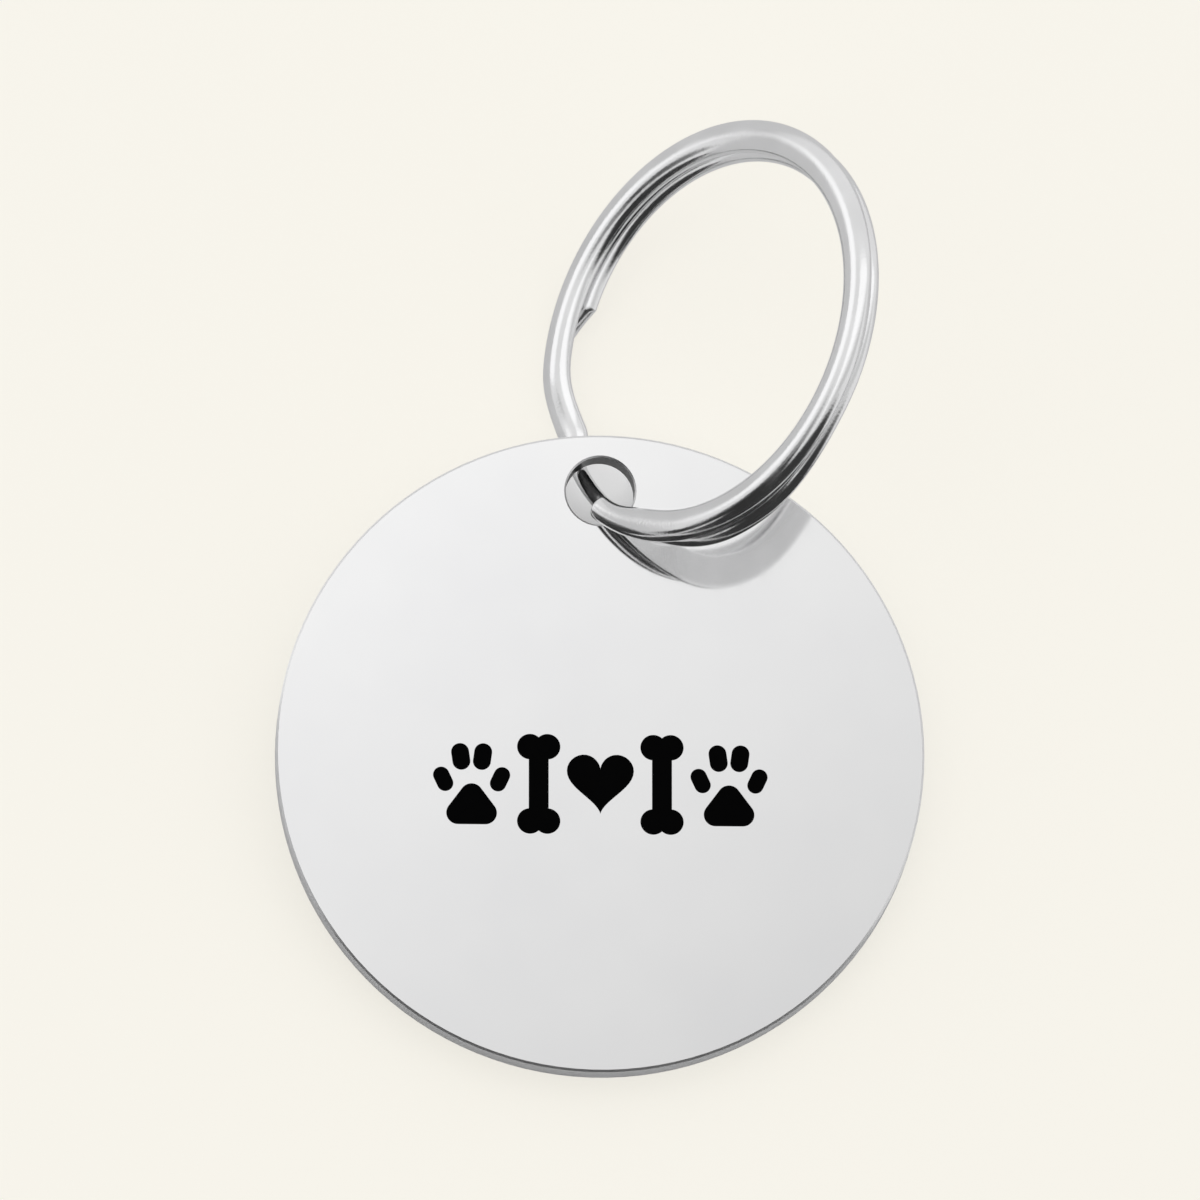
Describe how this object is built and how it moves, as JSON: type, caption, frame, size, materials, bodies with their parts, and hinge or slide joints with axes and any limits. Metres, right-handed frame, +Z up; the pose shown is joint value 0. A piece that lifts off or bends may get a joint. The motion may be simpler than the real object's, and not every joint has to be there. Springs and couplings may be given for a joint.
{
  "type": "pet id tag",
  "caption": "Round polished pet tag with a row of black paw, bone and heart motifs, hung on its own split ring.",
  "frame": {"origin": "middle of the base of the tag's bounding box, on the table that it rests on", "axes": "+Z up from the table, +Y from the disc's lower edge towards the split ring, +X to the right across the face. The tag lies face up, with the disc propped about 4 degrees by the ring under its top edge."},
  "size_m": [0.03, 0.044, 0.0151],
  "materials": {
    "disc_steel": "polished",
    "ring_steel": "polished",
    "black_enamel": "satin"
  },
  "bodies": {
    "tag": {"tag_disc": "disc_steel", "paw_left_pad": "black_enamel", "paw_left_toe_1": "black_enamel", "paw_left_toe_2": "black_enamel", "paw_left_toe_3": "black_enamel", "paw_left_toe_4": "black_enamel", "bone_left": "black_enamel", "heart": "black_enamel", "bone_right": "black_enamel", "paw_right_pad": "black_enamel", "paw_right_toe_1": "black_enamel", "paw_right_toe_2": "black_enamel", "paw_right_toe_3": "black_enamel", "paw_right_toe_4": "black_enamel"},
    "ring": {"split_ring": "ring_steel"}
  },
  "joints": [
    {"name": "ring_swing", "type": "hinge", "parent": "tag", "child": "ring", "pos_m": [-0.00018, 0.00514, 0.00285], "axis": [0.8381, 0.544, 0.0413], "range_deg": [-81, 0]}
  ]
}
